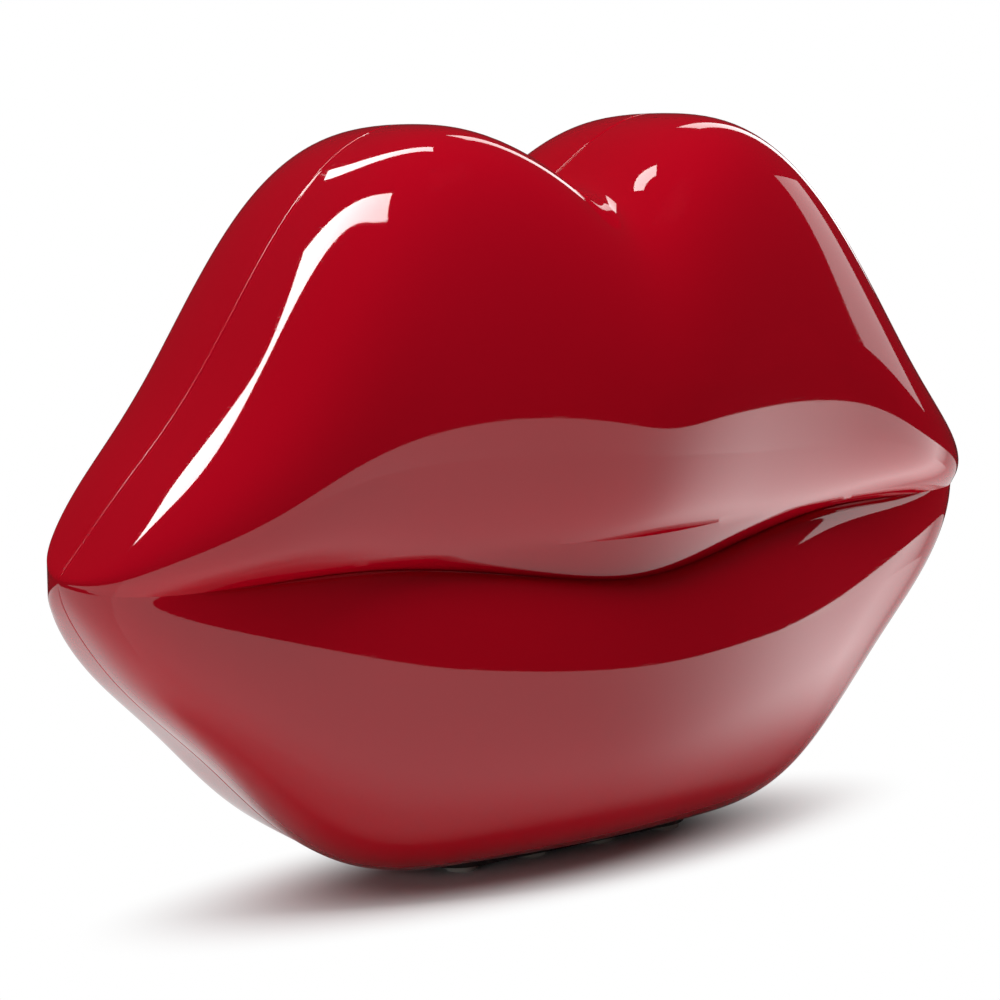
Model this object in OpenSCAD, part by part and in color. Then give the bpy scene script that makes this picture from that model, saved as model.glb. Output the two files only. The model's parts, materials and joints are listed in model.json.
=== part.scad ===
// Telephone in the shape of a pair of lips. The body is the handset: it stands on its lower lip, with the
// keypad, earpiece and mouthpiece on its back. Millimetres, +Z up, front towards -Y, origin on the floor
// under the middle of the whole phone.

/* [Lips] */
// Half of the width over the mouth corners
half_w = 100; // [100:1:108]
// Height of the upper lip's two lobes above the recess for the base plate
lip_h = 138; // [136:1:148]
// How far the upper lip stands out in front of the seam
front_d = 46; // [46:1:54]
// How far the flat back lies behind the seam
rear_d = 25; // [25:0.5:29]
// Extra depth of the notch between the lobes
notch_d = 4.5; // [1:0.5:5]
// Half width of that notch
notch_w = 10; // [6:1:14]
// How far the crease of the mouth is set back behind the rolled edge above it
crease_back = 2; // [1:0.5:3]

/* [Shells] */
// Thickness of the moulded walls
wall = 2.8; // [2.5:0.1:2.8]
// Diameter of the bosses for the shell screws
boss_d = 8.6; // [8:0.2:9.2]
// Shank diameter of the shell and base screws
screw_d = 2.9; // [2.5:0.1:3]
// Head diameter of the shell and base screws
screw_head_d = 5.6; // [5:0.2:6]
// Height of a screw head
screw_head_h = 2; // [1.5:0.1:2.2]

/* [Keypad] */
// Width of a key cap
key_w = 13.6; // [12:0.2:15]
// Height of a key cap
key_h = 9.8; // [8.6:0.2:10.6]
// Spacing of the keys across
key_pitch_x = 21; // [19:0.5:21.5]
// Spacing of the keys up and down
key_pitch_z = 16.5; // [15.5:0.5:16.5]
// How far a key moves when pressed
key_travel = 1.4; // [1:0.1:1.5]
// How far a key stands proud of the bezel
key_proud = 2.8; // [2:0.2:3.4]
// Gap round a key in its opening
key_gap = 0.3; // [0.25:0.05:0.4]
// Width of the opening for the keypad in the rear shell
panel_w = 72; // [70:1:74]
// Height of that opening
panel_h = 88; // [86:1:90]

/* [Sound] */
// Diameter of the receiver capsule
receiver_d = 26; // [24:1:26]
// Diameter of the microphone capsule
microphone_d = 9.7; // [8:0.1:10]
// Diameter of the ringer's housing
ringer_d = 24; // [20:1:24]
// Diameter of the sound holes
sound_hole_d = 2.2; // [1.6:0.2:2.4]

/* [Base] */
// Height of a foot below the base plate
foot_h = 1; // [0.8:0.1:2]
// Diameter of a foot
foot_d = 6; // [5:0.5:6]
// Spacing of the feet in a row
foot_pitch = 16; // [14:0.5:16]
// Thickness of the base plate
plate_t = 1.5; // [1.4:0.1:1.8]
// Diameter of the hook plunger in the base plate
plunger_d = 8; // [7:0.2:8.4]
// How far the plunger drops when the phone is lifted
plunger_travel = 3; // [2:0.2:3]

/* [Boards] */
// Thickness of the circuit boards
board_t = 1.6; // [1:0.2:1.6]
// Diameter of the small board screws
board_screw_d = 2.2; // [2:0.1:2.3]

/* [Hidden] */
KEYS = ["key_1", "key_2", "key_3", "key_4", "key_5", "key_6", "key_7", "key_8", "key_9",
        "key_star", "key_0", "key_hash", "flash_key", "redial_key", "mute_key"];

lip_red = "#b3041f";
dark_grey = "#2b2826";
key_grey = "#e4ded2";
rubber_grey = "#3d3b3a";
board_green = "#2f6b3c";
steel = "#b9bcc0";
brass_gold = "#c9a24b";
black = "#1c1c1e";
sleeve_blue = "#27406e";
cable_grey = "#9a9a98";
lead_red = "#a83228";

// The lips are swept from the left corner (-90) over the middle (0) to the right corner (90).
// Each list gives a height or a depth at seven stations from the middle to the corner.
last = 6;
sweep_step = 90 / last;
tall = lip_h / 138;
deep = front_d / 46;
back = rear_d / 25;
top_line = [122, 142.7, 129.3, 91.7, 75.5, 62.8, 60] * tall;
bottom_line = [-1.5, -1.5, -1.5, 23.2, 36.9, 51.3, 60] * tall;
roll_line = [63, 64, 63, 62, 61, 60, 60] * tall;
crease_line = [53.5, 58.5, 62, 60.5, 60, 59.5, 60] * tall;
upper_depth = [52, 45, 40, 38, 31, 17, 0] * deep;
roll_depth = [40, 35, 30, 26, 23, 15, 0] * deep;
lower_depth = [44.8, 41.2, 32.8, 26.8, 21.3, 13.5, 0] * deep;
rear_depth = [25, 25, 25, 22, 18, 12, 0] * back;
// The crease fades out towards the corners, where the two lips run into one round end
corner_fade = [0, 0, 0, 0, 0.3, 1, 1];
// Control points of the lip sections: share of the depth forwards, and share of the height downwards
upper_out = [0.66, 0.92, 0.93, 1];
upper_drop = [-0.027, 0, 0.5, 0.77];
lower_out = [1.02, 1.056, 0.97, 0.5];
lower_drop = [0, 0.394, 1, 1.019];
corner_upper_drop = 0.7;
corner_lower_drop = 0.25;
shallow_roll = 20;
// Rounding of the rear shell: share of the height at the top, and a corner at the bottom
rear_round = 0.062;
rear_hold = 0.6;
rear_corner = 4;
corner_z = top_line[last];
mid_z = 62 * tall;
half_h = 65 * tall;

// Facets of the skins
sweep_end = 84;
sweep = [for (a = [-sweep_end:4:sweep_end]) a];
lip_facets = 10;
rear_facets = 5;
flat_facets = 4;

// Clearances: of a bore over the screw held in it, of a hole over the screw that passes, of a plunger in its
// guide, between pieces that rest on each other, and how far a cut runs past a face
thread_gap = 0.1;
pass_gap = 0.4;
run_gap = 0.16;
rest_gap = 0.1;
over = 1;

// Heights of the base plate, which sits in a recess of the shells, a hair below its roof
seat_gap = 0.2;
floor_z = -(seat_gap + plate_t + foot_h);
plate_z = -(seat_gap + plate_t);

// Layers of the keypad, from the bezel's outer face inwards
bezel_proud = 0.4;
bezel_t = 5.8;
bezel_y = rear_d + bezel_proud;
bezel_back = bezel_y - bezel_t;
flange_t = 2;
skirt_t = 1.3;
skirt_rest = bezel_back - 0.3;
stem_l = 2;
stem_end = skirt_rest - skirt_t - stem_l;
press_gap = 0.4;
collar_end = skirt_rest - skirt_t - key_travel - press_gap;
mat_t = 1;
mat_face = stem_end - key_travel - 0.7;
board_face = mat_face - mat_t - rest_gap;
board_back = board_face - board_t;
key_top = bezel_y + key_proud;
key_z = 61;
panel_r = 5;
flange_lap = 3;
post_x = panel_w / 2 - 0.5;
post_z = panel_h / 2 - 0.5;
post_d = 6;
key_r = 2.2;
skirt_lap = 1.1;
stem_d = 4;
collar_d = 9;
collar_bore = 5.4;
keypad_screw_l = 6.5;

// Where the phone's middle lies: the seam is set back so that the whole phone is centred
front_reach = max([for (q = front_profile(0)) q[0]]);
seam_y = (front_reach - key_top) / 2;

// Places of the pieces, from the seam plane and the roof of the recess under the body
shell_bosses = [[-52, 96], [52, 96], [-46, 20], [46, 20]];
head_sink = 4.5;
head_seat_y = rear_d - head_sink;
shell_screw_reach = 14;
bore_spare = 2;
main_board_y = -8;
main_board_z = 86;
main_board_size = [76, 44];
main_board_face = main_board_y + rest_gap + board_t;
main_board_screw_l = 5;
main_board_posts = [for (x = [-33, 33], z = [68, 104]) [x, z]];
receiver_at = [-60, 18.9 * back, 62];
receiver_tilt = 6;
receiver_h = 8;
gasket_t = 1;
microphone_at = [62, 19.2 * back, 56];
boot_wall = 2.1;
boot_h = 8;
boot_floor = 1;
ringer_at = [60, 18.6 * back, 80];
ringer_h = 6;
cup_wall = 1.7;
cup_gap = 0.3;
cup_top = 6;
receiver_cup_short = 3;
small_cup_short = 2;
grille_l = 9;
receiver_hole_step = 4.5;
microphone_hole_step = 3.4;
ringer_hole_step = 5;
capsule_rim = 4;
gasket_rim = 2.5;
ringer_rim = 3;
microphone_sink = 0.6;
plunger_y = -2;
guide_floor = 1.5;
guide_screw_x = 13;
ballast_at = [0, -16, 7];
ballast_size = [52, 12, 11];
ballast_screws_at = [16, -13];
foot_rows = [-12.5, 15.5];
foot_stem_d = 4;
plate_size = [60, 37];
plate_r = 7;
plate_y = 2.5;
plate_gap = 0.4;
base_head_h = 0.9;
jack_at = [-58, 19.6 * back, 34];
jack_size = [13, 12.2, 13];
jack_socket = [9.8, 10.5, 7.4];
jack_latch = [4, 2.6];
jack_latch_short = 2;
jack_margin = [0.6, 1];
contact_pitch = 1.02;
contact_d = 0.5;
contact_sink = 2;
slide_size = [13, 5, 6];
switch_x = 58;
ringer_switch_z = 40;
tone_switch_z = 31;
knob_size = [3.6, 2.2];
knob_travel = 4;
knob_slot = [knob_size[0] + knob_travel + 1, knob_size[1] + 0.8];
switch_face = 19.5 * back;
knob_root = 1.6;
knob_r = 0.5;
slot_depth = 1.8;
round_fn = 64;

// Value of a station list at sweep angle a: a uniform cubic B-spline, mirrored about the middle of the mouth
// and turned over about the corner
function station(list, i) = i < 0 ? list[-i] : i > last ? 2 * list[last] - list[2 * last - i] : list[i];
function along(list, a) =
    let (t = abs(a) / sweep_step, i = min(floor(t), last - 1), f = t - i)
    (pow(1 - f, 3) * station(list, i - 1)
     + (3 * pow(f, 3) - 6 * pow(f, 2) + 4) * station(list, i)
     + (3 * (f + pow(f, 2) - pow(f, 3)) + 1) * station(list, i + 1)
     + pow(f, 3) * station(list, i + 2)) / 6;

// Point at t on the Bezier curve of the control points c, by mixing neighbours until one point is left
function bezier(c, t) =
    len(c) == 1 ? c[0] : bezier([for (i = [0:len(c) - 2]) c[i] * (1 - t) + c[i + 1] * t], t);
function mix(a, b, s) = a + (b - a) * s;
function curve(c, n) = [for (i = [0:n]) bezier(c, i / n)];

function top_z(a) = along(top_line, a) - notch_d * exp(-pow(half_w * sin(a) / notch_w, 2));

// Section of the front shell at sweep angle a, as [forward, up] points from the top seam over the upper lip,
// the rolled edge, the crease and the lower lip to the bottom seam
function front_profile(a) =
    let (zt = top_z(a), zb = along(bottom_line, a), ze = along(roll_line, a), zm = along(crease_line, a),
         u = along(upper_depth, a), e = along(roll_depth, a), v = along(lower_depth, a),
         s = along(corner_fade, a), c = e - crease_back * (1 - s) * min(1, e / shallow_roll),
         h = zt - ze, k = zm - zb,
         upper = [[0, zt],
                  [upper_out[0] * u, zt - upper_drop[0] * h],
                  [upper_out[1] * u, zt - upper_drop[1] * h],
                  [upper_out[2] * u, zt - upper_drop[2] * h],
                  [mix(upper_out[3] * u, e, s), zt - mix(upper_drop[3], corner_upper_drop, s) * h],
                  [e, ze]],
         lower = [[c, zm],
                  [mix(lower_out[0] * v, c, s), zm - mix(lower_drop[0], corner_lower_drop, s) * k],
                  [lower_out[1] * v, zm - lower_drop[1] * k],
                  [lower_out[2] * v, zm - lower_drop[2] * k],
                  [lower_out[3] * v, zm - lower_drop[3] * k],
                  [0, zb]])
    concat(curve(upper, lip_facets), curve(lower, lip_facets));

// Section of the rear shell: over the top edge, which goes on at the upper lip's slope, down the back and
// round the bottom corner to the seam
function rear_profile(a) =
    let (zt = top_z(a), zb = along(bottom_line, a), r = along(rear_depth, a),
         q = rear_round * (zt - zb), k = min(rear_corner, 0.3 * (zt - zb), 0.5 * r),
         lean = -upper_drop[0] * (zt - along(roll_line, a)) / (upper_out[0] * along(upper_depth, a)),
         drop = rear_hold * min(lean * r, q),
         edge = [[0, zt], [-rear_hold * r, zt - drop], [-r, zt - (1 - rear_hold) * q], [-r, zt - q]],
         corner = [[-r, zb + k], [-r, zb], [-r + k, zb], [0, zb]])
    concat(curve(edge, rear_facets),
           [for (i = [1:flat_facets - 1]) [-r, mix(zt - q, zb + k, i / flat_facets)]],
           curve(corner, rear_facets));

// A point of a skin drawn in towards the middle of the phone by the depth inset
function drawn_in(p, front, inset) =
    [p[0] * (1 - inset / half_w),
     p[1] * (1 - inset / (front ? front_d : rear_d)),
     mid_z + (p[2] - mid_z) * (1 - inset / half_h)];

// All points of a skin, section by section, with its two corner points last
function skin_points(front, inset) =
    [for (p = concat([for (a = sweep, q = front ? front_profile(a) : rear_profile(a))
                          [half_w * sin(a), -q[0], q[1]]],
                     [for (side = [-1, 1]) [side * half_w, 0, corner_z]]))
        drawn_in(p, front, inset)];

function turned(faces, flip) = flip ? [for (f = faces) [f[0], f[2], f[1]]] : faces;

// Triangles of a skin with n sections of m points, whose first point has number b
function skin_faces(b, n, m) =
    concat([for (i = [0:n - 2], j = [0:m - 2]) let (p = b + i * m + j)
                each [[p, p + 1, p + m], [p + 1, p + m + 1, p + m]]],
           [for (j = [0:m - 2]) let (p = b + j) [b + n * m, p + 1, p]],
           [for (j = [0:m - 2]) let (p = b + (n - 1) * m + j) [b + n * m + 1, p, p + 1]]);

// Triangles between the seam edges of an outer skin and an inner one, whose points start at number k
function rim_faces(k, n, m) =
    concat([for (j = [0, m - 1], i = [0:n - 2]) let (p = i * m + j)
                each turned([[p, p + m, k + p], [p + m, k + p + m, k + p]], j > 0)],
           [for (j = [0, m - 1], side = [0, 1])
                let (p = side * (n - 1) * m + j, tip = n * m + side)
                each turned([[tip, p, k + p], [tip, k + p, k + tip]], (j > 0) != (side > 0))]);

// Triangles that close a skin across the seam plane
function lid_faces(n, m) =
    concat([for (i = [0:n - 2]) let (p = i * m, q = i * m + m - 1)
                each [[p, p + m, q], [p + m, q + m, q]]],
           [[0, m - 1, n * m], [(n - 1) * m, n * m + 1, n * m - 1]]);

// Wall of a shell: an outer skin, the inner skin and the rim at the seam
module shell_wall(front) {
    outer = skin_points(front, 0);
    inner = skin_points(front, wall);
    n = len(sweep);
    m = (len(outer) - 2) / n;
    k = len(outer);
    faces = concat(skin_faces(0, n, m), turned(skin_faces(k, n, m), true), rim_faces(k, n, m));
    polyhedron(concat(outer, inner), turned(faces, front));
}

// The room inside a shell out to the middle of its wall, which ends bosses and ribs inside the wall
module shell_room(front) {
    points = skin_points(front, wall / 2);
    n = len(sweep);
    m = (len(points) - 2) / n;
    polyhedron(points, turned(concat(skin_faces(0, n, m), lid_faces(n, m)), front));
}

// From the seam plane and the roof of the recess to the part's own origin
module in_place() translate([0, seam_y, -floor_z]) children();

// A round bar along Y from y0 to y1
module bar_y(d, y0, y1) translate([0, y1, 0]) rotate([90, 0, 0]) cylinder(d = d, h = y1 - y0, $fn = round_fn);

// A round bar along Z from z0 to z1
module bar_z(d, z0, z1) translate([0, 0, z0]) cylinder(d = d, h = z1 - z0, $fn = round_fn);

// A rectangle with round corners
module round_rect(w, h, r) {
    square([w - 2 * r, h], center = true);
    square([w, h - 2 * r], center = true);
    for (x = [-1, 1], y = [-1, 1])
        translate([x * (w / 2 - r), y * (h / 2 - r)])
            circle(r = r, $fn = round_fn);
}

// A plate with round corners across Y, from y0 to y1
module plate_across_y(w, h, r, y0, y1)
    translate([0, y1, 0]) rotate([90, 0, 0]) linear_extrude(y1 - y0) round_rect(w, h, r);

// A box given by its middle in X and Z, from y0 to y1
module box_y(w, h, y0, y1) translate([-w / 2, y0, -h / 2]) cube([w, y1 - y0, h]);

// Rings of sound holes round a middle hole, bored along Y
module sound_holes(rings, step, y0, y1) {
    bar_y(sound_hole_d, y0, y1);
    for (ring = [1:rings], i = [0:6 * ring - 1])
        rotate([0, 60 * i / ring, 0]) translate([ring * step, 0, 0]) bar_y(sound_hole_d, y0, y1);
}

// A round cup wall that holds a capsule behind its sound holes
module cup(d, y0, y1) difference() {
    bar_y(d + 2 * cup_gap + 2 * cup_wall, y0, y1);
    bar_y(d + 2 * cup_gap, y0 - 1, y1 + 1);
}

module at_receiver() translate(receiver_at) rotate([0, 0, receiver_tilt]) children();
module at_key_field() translate([0, 0, key_z]) children();
module at_keys() for (i = [0:len(KEYS) - 1]) at_key(i) children();
module at_key(i)
    translate([(1 - i % 3) * key_pitch_x, 0, key_z + (2 - floor(i / 3)) * key_pitch_z]) children();
module at_keypad_posts()
    for (x = [-1, 1], z = [-1, 1]) translate([x * post_x, 0, key_z + z * post_z]) children();
module at_feet()
    for (y = foot_rows, i = [-1.5:1.5]) translate([i * foot_pitch, y, 0]) children();
module at_guide_screws() for (x = [-1, 1]) translate([x * guide_screw_x, plunger_y, 0]) children();
module at_ballast_screws()
    for (x = [-1, 1]) translate([x * ballast_screws_at[0], ballast_screws_at[1], 0]) children();

// Recess for the base plate in the undersides of both shells
module plate_recess() translate([0, plate_y, plate_z - over])
    linear_extrude(over - plate_z)
        round_rect(plate_size[0] + 2 * plate_gap, plate_size[1] + 2 * plate_gap, plate_r + plate_gap);

// Front shell: the whole pair of lips, with bosses for the shell screws, the main board and the ballast
module front_shell() color(lip_red) in_place() difference() {
    union() {
        shell_wall(true);
        intersection() {
            shell_room(true);
            union() {
                for (p = shell_bosses) translate([p[0], 0, p[1]]) bar_y(boss_d, -front_d, -rest_gap);
                for (p = main_board_posts) translate([p[0], 0, p[1]]) bar_y(post_d, -front_d, main_board_y);
                at_ballast_screws() bar_z(boss_d, -over, ballast_at[2] - rest_gap);
            }
        }
    }
    for (p = shell_bosses)
        translate([p[0], 0, p[1]]) bar_y(screw_d + thread_gap, -shell_screw_reach - bore_spare, over);
    for (p = main_board_posts)
        translate([p[0], 0, p[1]])
            bar_y(board_screw_d + thread_gap, main_board_y - main_board_screw_l - bore_spare,
                  main_board_y + over);
    plate_recess();
    at_ballast_screws() bar_z(screw_d + pass_gap, plate_z, ballast_at[2]);
    at_guide_screws() bar_z(screw_d + pass_gap, plate_z, guide_floor + over);
    translate([0, plunger_y, 0]) bar_z(plunger_d + 2 * pass_gap, plate_z, guide_floor + over);
}

// Rear shell: the rim behind the seam and the back, open for the keypad, the sounds, the jack and the
// switches
module rear_shell() color(lip_red) in_place() difference() {
    union() {
        shell_wall(false);
        intersection() {
            shell_room(false);
            union() {
                for (p = shell_bosses) translate([p[0], 0, p[1]]) bar_y(boss_d, rest_gap, rear_d);
                at_receiver() cup(receiver_d, receiver_cup_short - receiver_h, cup_top);
                translate(microphone_at) cup(microphone_d + 2 * boot_wall, small_cup_short - boot_h, cup_top);
                translate(ringer_at) cup(ringer_d, small_cup_short - ringer_h, cup_top);
            }
        }
    }
    for (p = shell_bosses) translate([p[0], 0, p[1]]) {
        bar_y(screw_d + pass_gap, -over, rear_d + over);
        bar_y(screw_head_d + 2 * pass_gap, head_seat_y, rear_d + over);
    }
    at_key_field() plate_across_y(panel_w, panel_h, panel_r, bezel_back, rear_d + over);
    at_receiver() sound_holes(2, receiver_hole_step, 0, grille_l);
    translate(microphone_at) sound_holes(1, microphone_hole_step, 0, grille_l);
    translate(ringer_at) sound_holes(1, ringer_hole_step, 0, grille_l);
    translate(jack_at)
        box_y(jack_socket[0] + jack_margin[0], jack_socket[2] + jack_margin[1], -over, grille_l);
    for (z = [ringer_switch_z, tone_switch_z])
        translate([switch_x, 0, z])
            box_y(knob_slot[0], knob_slot[1], switch_face - over, rear_d + over);
    plate_recess();
    translate([0, plunger_y, 0]) bar_z(plunger_d + 2 * pass_gap, plate_z, guide_floor + over);
}

// Base plate: bored for the plunger, the feet and four screws with sunk heads
module base_plate() color(dark_grey) in_place() difference() {
    translate([0, plate_y, plate_z])
        linear_extrude(plate_t) round_rect(plate_size[0], plate_size[1], plate_r);
    translate([0, plunger_y, 0]) bar_z(plunger_d + run_gap, plate_z - over, over);
    at_feet() bar_z(foot_stem_d, plate_z - over, over);
    at_guide_screws() base_screw_hole();
    at_ballast_screws() base_screw_hole();
}
module base_screw_hole() {
    bar_z(screw_d + pass_gap, plate_z - over, over);
    bar_z(screw_head_d + pass_gap, plate_z - over, plate_z + base_head_h);
}

// Feet: rubber studs whose stems sit in the base plate
module feet() color(rubber_grey) in_place() at_feet() {
    bar_z(foot_d, floor_z, plate_z);
    bar_z(foot_stem_d - thread_gap, plate_z - foot_h / 2, -seat_gap - rest_gap);
}

// Bezel: the keypad's frame, held behind the opening by its flange
module keypad_bezel() color(dark_grey) in_place() difference() {
    union() {
        at_key_field() {
            plate_across_y(panel_w - 2 * key_gap, panel_h - 2 * key_gap, panel_r - key_gap, bezel_back,
                           bezel_y);
            plate_across_y(panel_w + 2 * flange_lap, panel_h + 2 * flange_lap, panel_r, bezel_back,
                           bezel_back + flange_t);
        }
        at_keypad_posts() bar_y(post_d, board_face + rest_gap, bezel_back + over);
    }
    at_keys()
        plate_across_y(key_w + 2 * key_gap, key_h + 2 * key_gap, key_r + key_gap, bezel_back - over,
                       bezel_y + over);
    at_keypad_posts() bar_y(board_screw_d + thread_gap, board_face - over, bezel_back + over);
}

// Key: a cap that stands through the bezel, a skirt that keeps it in, and a stem over the mat
module key(i) color(i < 12 ? key_grey : lip_red) in_place() at_key(i) {
    plate_across_y(key_w, key_h, key_r, skirt_rest - skirt_t / 2, key_top);
    plate_across_y(key_w + 2 * skirt_lap, key_h + 2 * skirt_lap, key_r, skirt_rest - skirt_t, skirt_rest);
    bar_y(stem_d, stem_end, skirt_rest - skirt_t / 2);
}

// Dome mat: one rubber sheet with a collar round the end of every key stem
module dome_mat() color(rubber_grey) in_place() difference() {
    union() {
        at_key_field() plate_across_y(panel_w + 2, panel_h + 2, panel_r, mat_face - mat_t, mat_face);
        at_keys() bar_y(collar_d, mat_face - mat_t / 2, collar_end);
    }
    at_keys() bar_y(collar_bore, mat_face, collar_end + over);
    at_keypad_posts() bar_y(post_d + 2 * key_gap, mat_face - mat_t - over, mat_face + over);
}

// Keypad board behind the mat
module keypad_board() color(board_green) in_place() difference() {
    at_key_field() plate_across_y(panel_w + 4, panel_h + 4, panel_r, board_back, board_face);
    at_keypad_posts() bar_y(board_screw_d + pass_gap, board_back - over, board_face + over);
}

// A small pan-head screw along +Y, its head's underside at y = 0
module board_screw(length) {
    head_h = 0.7 * board_screw_d;
    bar_y(2 * board_screw_d, -head_h, 0);
    bar_y(board_screw_d, -head_h / 2, length);
}
module keypad_screws() color(steel) in_place()
    at_keypad_posts() translate([0, board_back, 0]) board_screw(keypad_screw_l);

// Main board on four posts of the front shell, with its parts on the side towards the keypad
module main_board() color(board_green) in_place() difference() {
    translate([0, 0, main_board_z])
        box_y(main_board_size[0], main_board_size[1], main_board_y + rest_gap, main_board_face);
    for (p = main_board_posts)
        translate([p[0], 0, p[1]])
            bar_y(board_screw_d + pass_gap, main_board_y - over, main_board_face + over);
}
module board_screws() color(steel) in_place()
    for (p = main_board_posts)
        translate([p[0], main_board_face, p[1]])
            rotate([180, 0, 0]) board_screw(board_t + main_board_screw_l);

// Dialler chip: a flat case on two rows of legs
chip_at = [-14, 88];
chip_size = [23, 6.6];
chip_lift = 0.6;
chip_top = 4;
leg_pitch = 2.54;
leg_side = 4;
leg_row = 3.6;
leg_size = [0.5, 0.9];
leg_top = 2;
module dialer_chip() color(black) in_place() translate([chip_at[0], main_board_face, chip_at[1]]) {
    box_y(chip_size[0], chip_size[1], chip_lift, chip_top);
    for (i = [-leg_side:leg_side], z = [-1, 1])
        translate([i * leg_pitch, 0, z * leg_row]) box_y(leg_size[0], leg_size[1], rest_gap / 2, leg_top);
}

// Two electrolytic capacitors and a film one
can_places = [[10, 80], [21, 80]];
can_d = 8;
can_l = 11;
film_at = [16, 98];
film_size = [12, 5];
film_l = 9;
module capacitors() color(sleeve_blue) in_place() translate([0, main_board_face + rest_gap, 0]) {
    for (p = can_places) translate([p[0], 0, p[1]]) bar_y(can_d, 0, can_l);
    translate([film_at[0], 0, film_at[1]]) box_y(film_size[0], film_size[1], 0, film_l);
}

// Quartz crystal in its flat can
crystal_at = [-14, 100];
crystal_size = [11, 4.6];
crystal_r = 2.2;
crystal_l = 3.6;
module crystal() color(steel) in_place()
    translate([crystal_at[0], main_board_face + rest_gap, crystal_at[1]])
        plate_across_y(crystal_size[0], crystal_size[1], crystal_r, 0, crystal_l);

// Flat cable from the main board to the keypad board
ribbon_w = 16;
ribbon_t = 0.8;
ribbon_path = [[main_board_face + rest_gap, 68], [2, 68], [6, 60], [board_back - rest_gap, 60]];
ribbon_under = [for (p = ribbon_path) p - [0, ribbon_t]];
module ribbon_cable() color(cable_grey) in_place() translate([-ribbon_w / 2, 0, 0])
    rotate([90, 0, 90]) linear_extrude(ribbon_w)
        polygon(concat(ribbon_path, [for (i = [len(ribbon_under) - 1:-1:0]) ribbon_under[i]]));

// A tube along a path: the way the path runs at point i, a ring of points square to it, and the whole tube,
// whose rings keep one side towards side_way
function unit(v) = v / norm(v);
function path_way(path, i) = unit(path[min(i + 1, len(path) - 1)] - path[max(i - 1, 0)]);
function ring_at(path, i, r, sides, side_way) =
    let (w = path_way(path, i), a = unit(cross(w, side_way)), b = cross(w, a))
    [for (k = [0:sides - 1]) path[i] + r * (cos(360 * k / sides) * a + sin(360 * k / sides) * b)];
module tube(path, r, sides, side_way) {
    n = len(path);
    rings = [for (i = [0:n - 1], p = ring_at(path, i, r, sides, side_way)) p];
    walls = [for (i = [0:n - 2], k = [0:sides - 1])
                 let (p = i * sides + k, q = i * sides + (k + 1) % sides)
                 each [[p, p + sides, q], [q, p + sides, q + sides]]];
    ends = [for (k = [1:sides - 2]) each [[0, k, k + 1],
                                          [(n - 1) * sides, (n - 1) * sides + k + 1, (n - 1) * sides + k]]];
    polyhedron(rings, concat(walls, ends));
}

// Lead pairs from the receiver, the microphone, the jack and the ringer to the main board
lead_r = 0.8;
lead_end_y = main_board_face + 0.6;
lead_paths = [
    [[-59.2, 10.6, 62], [-58.6, 6, 62], [-52, 0, 66], [-44, -3, 72], [-36, -3, 76], [-34, lead_end_y, 76]],
    [[62, 10.9, 56], [61, 6, 57], [52, 1, 64], [42, -2, 72], [36, -3, 76], [34, lead_end_y, 76]],
    [[-58, 6.8, 34], [-57, 3, 36], [-48, -1, 50], [-36, -2, 62], [-28, -3, 70], [-26, lead_end_y, 71]],
    [[60, 12.3, 80], [58, 7, 80], [48, 1, 81], [38, -2, 84], [34, -3, 87], [33, lead_end_y, 88]]];
module lead_wires() color(lead_red) in_place() for (path = lead_paths) tube(path, lead_r, 8, [0, 0, 1]);

// Receiver capsule in its cup behind the ear's sound holes, with its rubber gasket
module receiver_capsule() color(dark_grey) in_place() at_receiver() difference() {
    bar_y(receiver_d, -receiver_h, 0);
    bar_y(receiver_d - 2 * capsule_rim, -over, over);
}
module receiver_gasket() color(rubber_grey) in_place() at_receiver() difference() {
    bar_y(receiver_d, 0, gasket_t);
    bar_y(receiver_d - 2 * gasket_rim, -over, gasket_t + over);
}

// Microphone capsule in its rubber boot
module microphone_capsule() color(steel) in_place()
    translate(microphone_at) bar_y(microphone_d, boot_floor + rest_gap - boot_h, -microphone_sink);
module microphone_boot() color(rubber_grey) in_place() translate(microphone_at) difference() {
    bar_y(microphone_d + 2 * boot_wall, -boot_h, 0);
    bar_y(microphone_d + 2 * thread_gap, boot_floor - boot_h, over);
}

// Ringer: a sounder disc in a round housing
module piezo_ringer() color(black) in_place() translate(ringer_at) difference() {
    bar_y(ringer_d, -ringer_h, 0);
    bar_y(ringer_d - 2 * ringer_rim, -over, over);
}

// Guide of the hook plunger: a flange over the bottom seam, a tube, its cap and a wall that holds the switch
guide_flange = [34, 13, 2];
guide_flange_r = 4;
guide_bore = 12;
guide_cap = 20.2;
guide_wall = 2;
guide_top = guide_cap + guide_wall;
guide_boss_d = 6.4;
guide_boss_h = 8;
stem_top_d = 5;
switch_size = [13, 6, 6.5];
switch_leg = 1.2;
module at_guide_bosses() for (x = [-1, 1]) translate([x * guide_screw_x, 0, guide_floor]) children();
module hook_guide() color(dark_grey) in_place() translate([0, plunger_y, 0]) difference() {
    union() {
        translate([0, 0, guide_floor])
            linear_extrude(guide_flange[2])
                round_rect(guide_flange[0], guide_flange[1], guide_flange_r);
        bar_z(guide_bore + 2 * guide_wall, guide_floor, guide_top);
        at_guide_bosses() bar_z(guide_boss_d, 0, guide_boss_h);
        translate([-guide_bore * 2 / 3, switch_size[1] / 2 + 2 * rest_gap, guide_cap])
            cube([guide_bore * 4 / 3, guide_wall, switch_size[2] + 2 * guide_wall]);
    }
    bar_z(plunger_d + run_gap, guide_floor - over, guide_floor + guide_flange[2] + over);
    bar_z(guide_bore, guide_floor + guide_flange[2], guide_cap);
    bar_z(stem_top_d + run_gap, guide_cap - over, guide_top + over);
    at_guide_bosses() bar_z(screw_d + thread_gap, -over, guide_boss_h + over);
}

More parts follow.
